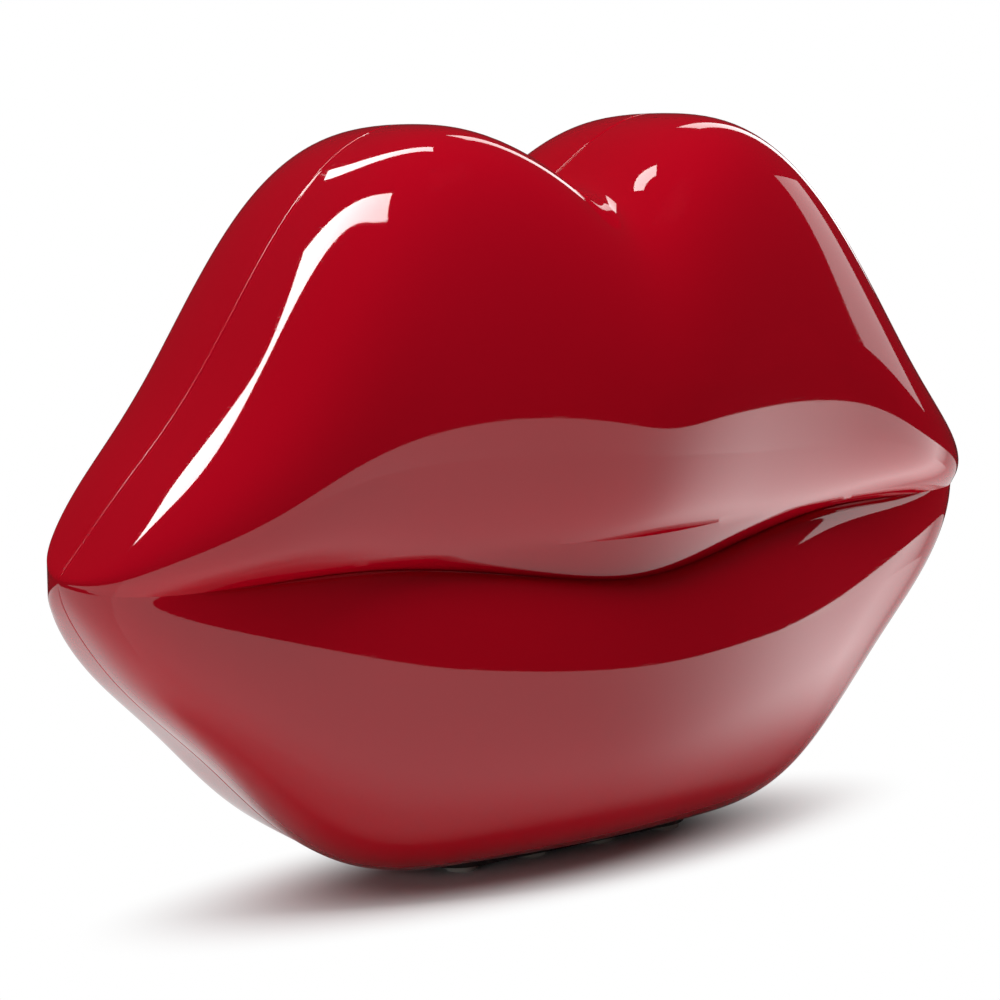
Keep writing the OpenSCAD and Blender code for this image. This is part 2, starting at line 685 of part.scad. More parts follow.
// Hook plunger: pushed in by the phone's weight at rest, down to the floor when lifted
collar_rest = guide_floor + guide_flange[2] + plunger_travel + rest_gap;
plunger_collar_t = 2;
plunger_collar_gap = 0.3;
stem_top = guide_top + 1;
module hook_plunger() color(key_grey) in_place() translate([0, plunger_y, 0]) {
    bar_z(plunger_d, floor_z, collar_rest + plunger_collar_t / 2);
    bar_z(guide_bore - 2 * plunger_collar_gap, collar_rest, collar_rest + plunger_collar_t);
    bar_z(stem_top_d, collar_rest + plunger_collar_t / 2, stem_top);
}

// Hook spring between the plunger's collar and the guide's cap: open curls of round wire
spring_r = 4.1;
spring_wire_r = 0.35;
spring_turns = 5;
spring_rings = 8;
spring_low = collar_rest + plunger_collar_t + spring_wire_r + rest_gap;
spring_high = guide_cap - spring_wire_r - rest_gap;
spring_path = [for (i = [0:spring_turns * spring_rings])
                   let (a = 360 * i / spring_rings, t = i / (spring_turns * spring_rings))
                   [spring_r * cos(a), spring_r * sin(a), mix(spring_low, spring_high, t)]];
spring_gap = min([for (i = [0:len(spring_path) - 1], j = [0:len(spring_path) - 1])
                      if (j - i > spring_rings / 2) norm(spring_path[j] - spring_path[i])])
             - 2 * spring_wire_r;
module hook_spring() color(steel) in_place() translate([0, plunger_y, 0])
    tube(spring_path, spring_wire_r, 6, [0, 0, 1]);
echo(least_gap_between_spring_curls = spring_gap);

// Hook switch: a snap-action switch whose button stands over the plunger's stem
module hook_switch() color(black) in_place() translate([0, plunger_y, stem_top]) {
    translate([-switch_size[0] / 2, -switch_size[1] / 2, switch_leg]) cube(switch_size);
    bar_z(2 * switch_leg, 2 * rest_gap, 2 * switch_leg);
}

// Line jack: a modular socket behind its opening in the rear shell, with its contact wires
module line_jack() color(black) in_place() translate(jack_at) difference() {
    box_y(jack_size[0], jack_size[2], -jack_size[1], 0);
    box_y(jack_socket[0], jack_socket[2], -jack_socket[1], over);
    translate([0, 0, -jack_socket[2] / 2])
        box_y(jack_latch[0], jack_latch[1], jack_latch_short - jack_socket[1], over);
}
module jack_contacts() color(brass_gold) in_place() translate(jack_at)
    for (i = [-1.5:1.5])
        translate([i * contact_pitch, 0, jack_socket[2] / 2 - contact_d])
            bar_y(contact_d, rest_gap - jack_socket[1], -contact_sink);

// Slide switches for the ringer and the dialling mode, each with a knob that slides in a slot
module slide_switch(z) in_place() translate([switch_x, 0, z]) difference() {
    box_y(slide_size[0], slide_size[2], switch_face - slide_size[1], switch_face);
    box_y(knob_slot[0], knob_slot[1], switch_face - slot_depth, switch_face + over);
}
module slide_knob(z) in_place()
    translate([switch_x - knob_travel / 2, 0, z])
        plate_across_y(knob_size[0], knob_size[1], knob_r, switch_face - knob_root, rear_d);
module ringer_switch() color(black) slide_switch(ringer_switch_z);
module ringer_knob() color(key_grey) slide_knob(ringer_switch_z);
module tone_switch() color(black) slide_switch(tone_switch_z);
module tone_knob() color(key_grey) slide_knob(tone_switch_z);

// Ballast: a steel bar low in the front, so that the deep lips stand steadily
module ballast_weight() color(steel) in_place() difference() {
    translate([-ballast_size[0] / 2, ballast_at[1] - ballast_size[1] / 2, ballast_at[2]]) cube(ballast_size);
    at_ballast_screws() bar_z(screw_d + thread_gap, ballast_at[2] - over, ballast_at[2] + guide_boss_h);
}

// Screws up through the base plate, into the guide and the ballast
module base_screw(top) {
    bar_z(screw_head_d, plate_z + rest_gap / 2, plate_z + base_head_h - rest_gap / 2);
    bar_z(screw_d, plate_z + base_head_h / 2, top);
}
module base_screws() color(steel) in_place() {
    at_guide_screws() base_screw(guide_floor + guide_boss_h - over);
    at_ballast_screws() base_screw(ballast_at[2] + guide_boss_h - over);
}

// Screws from the back that pull the two shells together
module shell_screws() color(steel) in_place() for (p = shell_bosses) translate([p[0], head_seat_y, p[1]]) {
    bar_y(screw_head_d, rest_gap / 2, screw_head_h);
    bar_y(screw_d, -head_seat_y - shell_screw_reach, screw_head_h / 2);
}

front_shell();
rear_shell();
base_plate();
feet();
keypad_bezel();
for (i = [0:len(KEYS) - 1])
    key(i);
dome_mat();
keypad_board();
keypad_screws();
main_board();
dialer_chip();
capacitors();
crystal();
board_screws();
ribbon_cable();
lead_wires();
receiver_capsule();
receiver_gasket();
microphone_capsule();
microphone_boot();
piezo_ringer();
hook_guide();
hook_plunger();
hook_spring();
hook_switch();
line_jack();
jack_contacts();
ringer_switch();
ringer_knob();
tone_switch();
tone_knob();
ballast_weight();
base_screws();
shell_screws();
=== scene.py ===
"""Looks of the lips telephone: fine shells, pillowed keys with printed figures, finishes, studio and camera."""

import json
import math

import bmesh
import bpy
import numpy as np
from mathutils import Matrix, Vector
from mathutils.geometry import delaunay_2d_cdt


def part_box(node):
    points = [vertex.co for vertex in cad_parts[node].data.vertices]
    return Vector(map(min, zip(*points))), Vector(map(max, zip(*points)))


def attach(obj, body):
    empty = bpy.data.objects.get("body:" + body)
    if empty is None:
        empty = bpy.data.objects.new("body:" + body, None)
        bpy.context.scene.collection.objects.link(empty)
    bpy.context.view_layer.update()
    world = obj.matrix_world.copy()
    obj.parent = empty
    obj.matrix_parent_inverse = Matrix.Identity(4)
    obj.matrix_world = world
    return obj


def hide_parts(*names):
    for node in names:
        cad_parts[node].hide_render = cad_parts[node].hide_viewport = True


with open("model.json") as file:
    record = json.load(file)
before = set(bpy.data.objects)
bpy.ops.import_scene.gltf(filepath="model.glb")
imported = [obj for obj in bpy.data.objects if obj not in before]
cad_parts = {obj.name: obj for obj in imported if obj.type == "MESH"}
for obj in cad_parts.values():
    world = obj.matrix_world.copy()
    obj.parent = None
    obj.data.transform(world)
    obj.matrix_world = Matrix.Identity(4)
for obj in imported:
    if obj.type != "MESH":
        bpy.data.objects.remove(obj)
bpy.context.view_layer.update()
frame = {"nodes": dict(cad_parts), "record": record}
nodes = frame["nodes"]

# Measures of the phone in millimetres, in the lips' own frame: seam plane at y = 0, base recess at z = 0
MM = 0.001
SEAM_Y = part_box("rear_shell")[0].y / MM
PLATE_GAP = 0.2
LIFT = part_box("base_plate")[1].z / MM + PLATE_GAP
HALF_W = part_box("front_shell")[1].x / MM
FRONT_REACH = SEAM_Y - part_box("front_shell")[0].y / MM
FRONT_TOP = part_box("front_shell")[1].z / MM - LIFT
WALL = 2.8
INNER_DEPTH = {"front": 46.0, "rear": 25.0}
MIDDLE_Z, HALF_H = 62.0, 65.0

# Heights and depths of the lips at seven stations from the middle to the corner of the mouth
TOP = (122, 142.7, 129.3, 91.7, 75.5, 62.8, 60)
BOTTOM = (-1.5, -1.5, -1.5, 23.2, 36.9, 51.3, 60)
ROLL_Z = (63, 64, 63, 62, 61, 60, 60)
CREASE_Z = (53.5, 58.5, 62, 60.5, 60, 59.5, 60)
UPPER = (52, 45, 40, 38, 31, 17, 0)
ROLL = (40, 35, 30, 26, 23, 15, 0)
LOWER = (44.8, 41.2, 32.8, 26.8, 21.3, 13.5, 0)
REAR = (25, 25, 25, 22, 18, 12, 0)
FADE = (0, 0, 0, 0, 0.3, 1, 1)
NOTCH_D, NOTCH_W = 4.5, 10.0
CREASE_BACK, SHALLOW_ROLL = 2.0, 20.0
# Control values of the lips' sections, as shares of their depth and height: depth of the upper lip, its drop at
# the fourth point and, in the middle and at the corner, at the fifth; depth and drop of the lower lip
UPPER_OUT, UPPER_DROP = (0.92, 0.93), (0.5, 0.77, 0.7)
LOWER_OUT, LOWER_DROP, CORNER_DROP = (1.02, 1.056, 0.97, 0.5), (0.394, 1.019), 0.25
# Slope of the upper lip where it leaves the seam, and rounding of the rear shell's top edge and bottom corner
FIRST_OUT, FIRST_RISE = 0.66, 0.027
REAR_ROUND, REAR_HOLD, REAR_CORNER = 0.062, 0.6, 4.0
# Recess for the base plate: half width, half depth, corner radius and middle
RECESS_HALF, RECESS_R, RECESS_Y = (31.6, 20.1), 8.0, 2.5

# Fineness of the skins, and the groove that the seam leaves between the shells
SECTIONS = 321
LIP_POINTS = 56
INNER_POINTS = 14
EDGE_POINTS = 44
GROOVE_DEPTH, GROOVE_WIDTH = 0.16, 0.2
# Share of a curve with crowded points at the seam, their number, and the distance in metres at which points weld
SEAM_SHARE, SEAM_POINTS, WELD = 0.03, 8, 1e-6


def spread(values, angle):
    """Station values along the sweep: a uniform cubic B-spline, mirrored about the middle of the mouth and
    turned over about its corner."""
    knots = np.array([values[1], *values, 2 * values[-1] - values[-2]], float)
    place = np.abs(angle) / (90 / (len(values) - 1))
    i = np.minimum(place.astype(int), len(values) - 2)
    f = place - i
    weights = ((1 - f) ** 3, 3 * f ** 3 - 6 * f ** 2 + 4, 3 * (f + f ** 2 - f ** 3) + 1, f ** 3)
    return sum(w * knots[i + k] for k, w in enumerate(weights)) / 6


def bezier(controls, t):
    """Points of Bezier curves: binomial weights of t times the control values, one curve per section."""
    degree = len(controls) - 1
    weights = [math.comb(degree, k) * t ** k * (1 - t) ** (degree - k) for k in range(degree + 1)]
    return sum(w * c[:, None] for w, c in zip(weights, controls))


def mix(a, b, share):
    """The value a given share of the way from a to b."""
    return a + (b - a) * share


angle = np.linspace(-90, 90, SECTIONS)
x_line = HALF_W * np.sin(np.radians(angle))
top_z = spread(TOP, angle) - NOTCH_D * np.exp(-(x_line / NOTCH_W) ** 2)
bottom_z = spread(BOTTOM, angle)
rear_y = spread(REAR, angle)


def seam_normals(z_line):
    """Unit vectors across the seam line, in the seam plane, to the left of the way the line runs."""
    dx, dz = np.gradient(x_line), np.gradient(z_line)
    return np.stack([-dz, np.zeros_like(dx), dx], -1) / np.hypot(dx, dz)[:, None]


def section_grid(depth, height):
    """Grid of lip points: one row per section, x from the sweep, y from the depth in front of the seam."""
    return np.stack([np.broadcast_to(x_line[:, None], depth.shape), -depth, height], -1)


def grooved(grid, z_line, side):
    """Skin drawn in next to the seam: a bell curve of the distance from the seam plane, across the seam line,
    which leaves a fine rounded groove between the two shells."""
    room = np.minimum(1, np.abs(grid[..., 1]).max(1) / 8)[:, None]
    inset = GROOVE_DEPTH * room * np.exp(-(grid[..., 1] / GROOVE_WIDTH) ** 2)
    return grid - side * inset[..., None] * seam_normals(z_line)[:, None]


def drawn_in(grid, shell):
    """A skin drawn in towards the middle of the phone by the wall's thickness, in proportion on each axis."""
    shrink = 1 - WALL / np.array([HALF_W, INNER_DEPTH[shell], HALF_H])
    middle = np.array([0, 0, MIDDLE_Z])
    return middle + (grid - middle) * shrink


def recessed(grid):
    """An underside hollowed flat to z = 0 within a rectangle with round corners, where the base plate sits."""
    beyond = np.abs(grid[..., :2] - (0, RECESS_Y)) - (np.array(RECESS_HALF) - RECESS_R)
    under = (np.linalg.norm(np.maximum(beyond, 0), axis=-1) < RECESS_R) & (grid[..., 2] < 0)
    return np.where(under[..., None], grid * (1, 1, 0), grid)


def from_seam(count):
    """Curve parameters from 0 to 1 that crowd together near the seam at 0, where the groove is."""
    crowded = np.linspace(0, SEAM_SHARE, SEAM_POINTS + 1)[:-1]
    return np.concatenate([crowded, np.linspace(SEAM_SHARE, 1, count)])


def lip_profile(upper_t, lower_t):
    """Sections of the front: upper lip (degree-5 Bezier from the top seam to the rolled edge), the strip into
    the crease, and lower lip (degree-5 Bezier from the crease to the bottom seam)."""
    roll_z, crease_z = spread(ROLL_Z, angle), spread(CREASE_Z, angle)
    u, e, v, s = (spread(values, angle) for values in (UPPER, ROLL, LOWER, FADE))
    c = e - CREASE_BACK * (1 - s) * np.minimum(1, e / SHALLOW_ROLL)
    h, k = top_z - roll_z, crease_z - bottom_z
    upper = section_grid(
        bezier([0 * u, FIRST_OUT * u, UPPER_OUT[0] * u, UPPER_OUT[1] * u, mix(u, e, s), e], upper_t),
        bezier([top_z, top_z + FIRST_RISE * h, top_z, top_z - UPPER_DROP[0] * h,
                top_z - mix(*UPPER_DROP[1:], s) * h, roll_z], upper_t))
    lower = section_grid(
        bezier([c, mix(LOWER_OUT[0] * v, c, s), *(out * v for out in LOWER_OUT[1:]), 0 * v], lower_t),
        bezier([crease_z, crease_z - CORNER_DROP * s * k, crease_z - LOWER_DROP[0] * k, bottom_z,
                crease_z - LOWER_DROP[1] * k, bottom_z], lower_t))
    return upper, lower


def strip_between(first, last, count):
    """Straight strip of points between two rows of points."""
    share = np.linspace(0, 1, count)[None, :, None]
    return mix(first[:, None], last[:, None], share)


# Building meshes from patches
def patch(grid, flip=False):
    """A grid of points as (points, quads); its faces look along column way x row way, or back if flipped."""
    columns = grid.shape[1]
    corner = (np.arange(grid.shape[0] - 1)[:, None] * columns + np.arange(columns - 1)).reshape(-1, 1)
    quads = corner + np.array([0, 1, columns + 1, columns])
    return grid.reshape(-1, 3), quads[:, ::-1] if flip else quads


def build(name, patches, body, stands_for=(), sharp=40, place=True):
    """One object from patches given in millimetres: points that meet are welded, so that seams and poles are
    closed, and edges sharper than the given angle stay crisp."""
    starts = np.cumsum([0] + [len(points) for points, faces in patches])
    points = np.concatenate([points for points, faces in patches])
    if place:
        points = points + (0, SEAM_Y, LIFT)
    mesh = bpy.data.meshes.new(name)
    faces = [face for start, (_, patch_faces) in zip(starts, patches) for face in (patch_faces + start).tolist()]
    mesh.from_pydata((points * MM).tolist(), [], faces)
    work = bmesh.new()
    work.from_mesh(mesh)
    bmesh.ops.remove_doubles(work, verts=work.verts, dist=WELD)
    work.to_mesh(mesh)
    work.free()
    mesh.shade_smooth()
    mesh.set_sharp_from_angle(angle=math.radians(sharp))
    made = bpy.data.objects.new(name, mesh)
    bpy.context.scene.collection.objects.link(made)
    if body:
        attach(made, body)
        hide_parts(*stands_for)
    return made


def outline(half_x, half_z, radius, arc=8, side=1):
    """Loops round rectangles with round corners: four quarter turns of arc points each, set out from the
    corner middles, and straight sides cut into side steps. Sizes may be arrays, which gives one row per size.
    The first point is repeated last."""
    turn = (np.arange(4 * arc + 1) % (4 * arc) + 0.5) * (math.pi / 2 / arc)
    half_x, half_z, radius = (np.asarray(value, float)[..., None] for value in (half_x, half_z, radius))
    loops = np.stack([np.sign(np.cos(turn)) * (half_x - radius) + radius * np.cos(turn),
                      np.sign(np.sin(turn)) * (half_z - radius) + radius * np.sin(turn)], -1)
    first = np.repeat(np.arange(4 * arc), np.where(np.arange(4 * arc) % arc == arc - 1, side, 1))
    share = np.where(first % arc == arc - 1, np.arange(len(first)) - np.searchsorted(first, first), 0) / side
    loops = mix(loops[..., first, :], loops[..., first + 1, :], share[:, None])
    return np.concatenate([loops, loops[..., :1, :]], -2)


# Front shell: outer skin, inner skin and the rim that joins them at the seam. The smooth skin is brought to the
# reach and the height of the construction's box.
whole = np.concatenate(lip_profile(from_seam(LIP_POINTS), from_seam(LIP_POINTS)), 1)
box_fit = np.array([1, FRONT_REACH / -whole[..., 1].min(), FRONT_TOP / whole[..., 2].max()])


def front_patches():
    """Patches of the lips, their inner skin and the rim."""
    from_top = from_seam(LIP_POINTS)
    upper, lower = (grid * box_fit for grid in lip_profile(from_top, (1 - from_top)[::-1]))
    upper, lower = grooved(upper, top_z, 1), recessed(grooved(lower, bottom_z, -1))
    strip = strip_between(upper[:, -1], lower[:, 0], 6)
    inside_t = np.linspace(0, 1, INNER_POINTS)
    inner = drawn_in(np.concatenate(lip_profile(inside_t, inside_t), 1), "front")
    return [patch(upper), patch(strip), patch(lower), patch(inner, True),
            patch(strip_between(inner[:, 0], upper[:, 0], 2)),
            patch(strip_between(lower[:, -1], inner[:, -1], 2))]


front = build("lips_front", front_patches(), "housing", ["front_shell"], sharp=15)


# Rear shell: rounded rim, flat back with its openings, inner skin
def rings_of(rings, step):
    """Middles of sound holes: one in the middle and rings of six, twelve and so on."""
    turns = [np.arange(6 * ring) * (math.pi / 3 / ring) for ring in range(1, rings + 1)]
    return np.concatenate([[[0, 0]]] + [ring * step * np.stack([np.cos(turn), np.sin(turn)], -1)
                                        for ring, turn in enumerate(turns, 1)])


def sized(middles, half_x, half_z, radius):
    """Rows of (x, z, half width, half height, corner radius) for equal openings."""
    middles = np.atleast_2d(np.asarray(middles, float))
    return np.column_stack([middles, np.tile([half_x, half_z, radius], (len(middles), 1))])


SOUND_R = 1.1
openings = np.concatenate([
    sized((0, 61), 36, 44, 5),
    sized(rings_of(2, 4.5) + (-60, 62), SOUND_R, SOUND_R, SOUND_R),
    sized(rings_of(1, 3.4) + (62, 56), SOUND_R, SOUND_R, SOUND_R),
    sized(rings_of(1, 5) + (60, 80), SOUND_R, SOUND_R, SOUND_R),
    sized([(-52, 96), (52, 96), (-46, 20), (46, 20)], 3.2, 3.2, 3.2),
    sized((-58, 34), 5.2, 4.2, 0.4),
    sized([(58, 40), (58, 31)], 4.3, 1.5, 0.4)])
RIM_ROUND = 0.3
# Narrow flat margins round the openings and inside the border, which keep the shading of the back even
HOLE_MARGIN, BACK_MARGIN = 0.2, 1.0
# Beyond this x the back has no openings and is made of straight strips
PLAIN_X, PLAIN_POINTS = 75.0, 12
# Lattice of the back: spacing, and room to the border and to the openings
LATTICE, BORDER_ROOM, HOLE_ROOM = 5.0, 2, 1.5


def back_depth(x):
    """Depth of the back behind the seam at x, the same all the way up."""
    return spread(REAR, np.degrees(np.arcsin(np.clip(x / HALF_W, -1, 1))))


def hole_distance(points):
    """Distance of every point from every opening's edge, negative inside."""
    beyond = np.abs(points[:, None] - openings[:, :2]) - (openings[:, 2:4] - openings[:, 4:])
    return np.linalg.norm(np.maximum(beyond, 0), axis=-1) + np.minimum(beyond.max(-1), 0) - openings[:, 4]


def hole_loops(grow, shrink):
    """Edges of all openings, made larger by grow, on the back whose depth is shrunk by a factor."""
    loops = outline(openings[:, 2] + grow, openings[:, 3] + grow, openings[:, 4] + grow)
    loops = loops + openings[:, None, :2]
    return np.stack([loops[..., 0], back_depth(loops[..., 0]) * shrink, loops[..., 1]], -1)


def back_patch(high, low, loops, shrink, flip):
    """The flat back: points of its border, of the openings' edges and of a lattice between them, joined by
    Delaunay triangles. Those with all corners on the edge of one opening lie inside it and are left out."""
    across, up = np.meshgrid(np.arange(-95, 96, LATTICE), np.arange(5, 140, LATTICE))
    lattice = np.stack([across.ravel(), up.ravel()], -1)
    high_z = np.interp(lattice[:, 0], high[:, 0], high[:, 2])
    low_z = np.interp(lattice[:, 0], low[:, 0], low[:, 2])
    clear = np.minimum(high_z - lattice[:, 1], lattice[:, 1] - low_z) > BORDER_ROOM
    clear &= np.abs(lattice[:, 0]) < high[:, 0].max() - BORDER_ROOM
    lattice = lattice[clear & (hole_distance(lattice).min(1) > HOLE_ROOM)]
    lattice = np.stack([lattice[:, 0], back_depth(lattice[:, 0]) * shrink, lattice[:, 1]], -1)
    edges = loops[:, :-1].reshape(-1, 3)
    side = strip_between(high[[0, -1]], low[[0, -1]], PLAIN_POINTS)[:, 1:-1]
    points = np.concatenate([high, side[1], low[::-1], side[0, ::-1], edges, lattice])
    border = len(points) - len(edges) - len(lattice)
    ring = loops.shape[1] - 1
    number = np.arange(len(edges))
    following = border + number // ring * ring + (number + 1) % ring
    links = np.concatenate([np.stack([np.arange(border), (np.arange(border) + 1) % border], -1),
                            np.stack([border + number, following], -1)])
    found = delaunay_2d_cdt(points[:, [0, 2]].tolist(), links.tolist(), [], 0, 1e-7)
    source = np.array([first[0] for first in found[3]])
    triangles = source[np.array(found[2])]
    middle = points[triangles].mean(1)
    high_z = np.interp(middle[:, 0], high[:, 0], high[:, 2])
    low_z = np.interp(middle[:, 0], low[:, 0], low[:, 2])
    inside = (middle[:, 2] < high_z) & (middle[:, 2] > low_z)
    owner = np.full(len(points), -1)
    owner[border:border + len(edges)] = number // ring
    owners = owner[triangles]
    filled = (owners[:, 0] >= 0) & (owners == owners[:, :1]).all(1)
    triangles = triangles[inside & ~filled]
    return points, triangles[:, ::-1] if flip else triangles


def whole_back(high, low, loops, shrink, flip):
    """Patches of a back: straight strips at both ends and the part with the openings between them."""
    first, last = np.flatnonzero(np.abs(high[:, 0]) <= PLAIN_X)[[0, -1]]
    ends = [strip_between(high[part], low[part], PLAIN_POINTS) for part in (slice(first + 1), slice(last, None))]
    middle = slice(first, last + 1)
    return [patch(end, flip) for end in ends] + [back_patch(high[middle], low[middle], loops, shrink, flip)]


def rear_patches():
    """Patches of the rear shell: top edge and bottom corner as cubic Beziers, the back, the walls of its
    openings with rounded rims, the inner skin and the rim at the seam."""
    tall = top_z - bottom_z
    q, k = REAR_ROUND * tall, np.minimum(np.minimum(REAR_CORNER, 0.3 * tall), 0.5 * rear_y)
    lean = FIRST_RISE * (top_z - spread(ROLL_Z, angle)) / (FIRST_OUT * np.maximum(spread(UPPER, angle), 1e-6))
    drop = REAR_HOLD * np.minimum(lean * rear_y, q)
    t = from_seam(EDGE_POINTS)
    edge = section_grid(-bezier([0 * rear_y, REAR_HOLD * rear_y, rear_y, rear_y], t),
                        bezier([top_z, top_z - drop, top_z - (1 - REAR_HOLD) * q, top_z - q], t))
    corner = section_grid(-bezier([rear_y, rear_y, rear_y - k, 0 * rear_y], (1 - t)[::-1]),
                          bezier([bottom_z + k, bottom_z, bottom_z, bottom_z], (1 - t)[::-1]))
    edge, corner = edge * (1, 1, box_fit[2]), corner * (1, 1, box_fit[2])
    inner_edge, inner_corner = drawn_in(edge[:, ::3], "rear"), drawn_in(corner[:, ::3], "rear")
    edge, corner = grooved(edge, top_z, 1), recessed(grooved(corner, bottom_z, -1))
    shrink = 1 - WALL / INNER_DEPTH["rear"]
    turn = np.linspace(0, math.pi / 2, 4)
    rounding = [hole_loops(RIM_ROUND * (1 - math.sin(a)), 1) - (0, RIM_ROUND * (1 - math.cos(a)), 0) for a in turn]
    inner_loops = hole_loops(0, shrink)
    margin_loops = hole_loops(RIM_ROUND + HOLE_MARGIN, 1)
    walls = np.stack([margin_loops] + rounding + [inner_loops], 1)
    high, low = edge[:, -1], corner[:, 0]
    share = np.minimum(BACK_MARGIN / np.maximum(high[:, 2:] - low[:, 2:], 1e-6), 0.3)
    margin_high, margin_low = mix(high, low, share), mix(low, high, share)
    patches = [patch(edge, True), patch(corner, True), patch(inner_edge), patch(inner_corner),
               patch(strip_between(high, margin_high, 3), True), patch(strip_between(margin_low, low, 3), True),
               *whole_back(margin_high, margin_low, margin_loops, 1, True),
               *whole_back(inner_edge[:, -1], inner_corner[:, 0], inner_loops, shrink, False),
               patch(strip_between(edge[:, 0], inner_edge[:, 0], 2)),
               patch(strip_between(inner_corner[:, -1], corner[:, -1], 2))]
    return patches + [patch(wall, True) for wall in walls]


rear = build("lips_rear", rear_patches(), "housing", ["rear_shell"], sharp=50)


# Keys: pillowed caps with a dished top, and printed figures that follow the dish
KEY_DRAFT, KEY_FILLET, KEY_DISH = 0.15, 1.1, 0.3
KEY_TALL, KEY_CORNER, KEY_FLANGE = 9.5, 2.2, 1.1
# Print: thickness, then size of figure and word and how far each is moved up where a key has both
PRINT_RISE = 0.02
FIGURE_SIZE, FIGURE_UP, WORD_SIZE, WORD_UP = 6.2, 1.1, 1.9, -2.6
LEGENDS = {"key_1": ("1", ""), "key_2": ("2", "ABC"), "key_3": ("3", "DEF"), "key_4": ("4", "GHI"),
           "key_5": ("5", "JKL"), "key_6": ("6", "MNO"), "key_7": ("7", "PRS"), "key_8": ("8", "TUV"),
           "key_9": ("9", "WXY"), "key_star": ("*", ""), "key_0": ("0", "OPER"), "key_hash": ("#", ""),
           "flash_key": ("", "FLASH"), "redial_key": ("", "REDIAL"), "mute_key": ("", "MUTE")}


def dish_depth(x, z, half_x, half_z):
    """How far the top of a key is hollowed at x, z from its middle: a product of two parabolas."""
    return KEY_DISH * (1 - (x / half_x) ** 2) * (1 - (z / half_z) ** 2)


def key_patches(low, high, half_x, half_z, radius):
    """A key cap about its middle: a drafted wall, a rounded shoulder and a dished top, as rings of a rounded
    rectangle, closed in the middle of both ends."""
    turn = np.linspace(0, math.pi / 2, 7)
    inset = np.concatenate([[0, 0], KEY_DRAFT + KEY_FILLET * (1 - np.cos(turn))])
    y = np.concatenate([[low, low + 2], high - KEY_FILLET * (1 - np.sin(turn))])
    rings = outline(half_x - inset, half_z - inset, np.maximum(radius - inset, 0.6), side=8)
    wall = np.stack([rings[..., 0], np.broadcast_to(y[:, None], rings.shape[:2]), rings[..., 1]], -1)
    share = np.linspace(1, 0, 8)[:, None, None]
    top = rings[-1] * share
    depth = dish_depth(top[..., 0], top[..., 1], rings[-1, :, 0].max(), rings[-1, :, 1].max())
    top = np.stack([top[..., 0], high - depth, top[..., 1]], -1)
    wall[-1] = top[0]
    foot = wall[0] * (share[[-1, 0]] * (1, 0, 1) + (0, 1, 0))
    return [patch(wall, True), patch(top, True), patch(foot, True)]


def lettering(text, size, rise):
    """A line of plain sans lettering as (points, faces), centred, with a thickness of twice the rise."""
    curve = bpy.data.curves.new(text, "FONT")
    curve.body, curve.size, curve.extrude = text, size, rise
    curve.align_x, curve.align_y = "CENTER", "CENTER"
    holder = bpy.data.objects.new(text, curve)
    mesh = bpy.data.meshes.new_from_object(holder)
    points = np.empty(3 * len(mesh.vertices))
    mesh.vertices.foreach_get("co", points)
    mesh.calc_loop_triangles()
    faces = np.empty(3 * len(mesh.loop_triangles), int)
    mesh.loop_triangles.foreach_get("vertices", faces)
    bpy.data.objects.remove(holder)
    bpy.data.curves.remove(curve)
    bpy.data.meshes.remove(mesh)
    points = points.reshape(-1, 3)
    points[:, :2] -= (points[:, :2].max(0) + points[:, :2].min(0)) / 2
    return points, faces.reshape(-1, 3)


def legend_patches(figure, word, high, half_x, half_z):
    """Printed figure and word on a key's top, read from behind the phone and laid on the dish."""
    lines = [(figure, FIGURE_SIZE, FIGURE_UP if word else 0), (word, WORD_SIZE, WORD_UP if figure else 0)]
    patches = []
    for text, size, up in lines:
        if text:
            points, faces = lettering(text, size, PRINT_RISE)
            x, z = -points[:, 0], points[:, 1] + up
            y = high - dish_depth(x, z, half_x, half_z) + points[:, 2]
            patches.append((np.stack([x, y, z], -1), faces))
    return patches


key_objects, legend_objects = {}, {}
for name, (figure, word) in LEGENDS.items():
    low, high = (np.array(corner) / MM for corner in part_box(name))
    middle = np.array([(low[0] + high[0]) / 2, 0, (low[2] + high[2]) / 2])
    half_x, half_z = (high[0] - low[0]) / 2 - KEY_FLANGE, (high[2] - low[2]) / 2 - KEY_FLANGE
    top_inset = KEY_DRAFT + KEY_FILLET
    cap = [(points + middle, faces) for points, faces in
           key_patches(high[1] - KEY_TALL, high[1], half_x, half_z, KEY_CORNER)]
    key_objects[name] = build(name + "_cap", cap, name, [name], place=False)
    marks = [(points + middle, faces) for points, faces in
             legend_patches(figure, word, high[1], half_x - top_inset, half_z - top_inset)]
    legend_objects[name] = build(name + "_print", marks, name, place=False)


# Materials
def linear(colour):
    """An sRGB hex colour as linear red, green, blue and alpha."""
    parts = np.array([int(colour[i:i + 2], 16) for i in (1, 3, 5)]) / 255
    return (*np.where(parts <= 0.04045, parts / 12.92, ((parts + 0.055) / 1.055) ** 2.4), 1)


def add(tree, kind, inputs=None, **settings):
    """Adds a node with its settings; inputs maps socket names or numbers to values or to sockets to link."""
    made = tree.nodes.new(kind)
    for key, value in settings.items():
        setattr(made, key, value)
    for key, value in (inputs or {}).items():
        if isinstance(value, bpy.types.NodeSocket):
            tree.links.new(value, made.inputs[key])
        else:
            made.inputs[key].default_value = value
    return made


def surface(name):
    """A new material with its empty node tree and the object's own coordinates."""
    made = bpy.data.materials.new(name)
    made.use_nodes = True
    tree = made.node_tree
    tree.nodes.clear()
    return made, tree, add(tree, "ShaderNodeTexCoord").outputs["Object"]


def finish_surface(tree, shader):
    """Links a shader to the material's output."""
    add(tree, "ShaderNodeOutputMaterial", {"Surface": shader.outputs[0]})


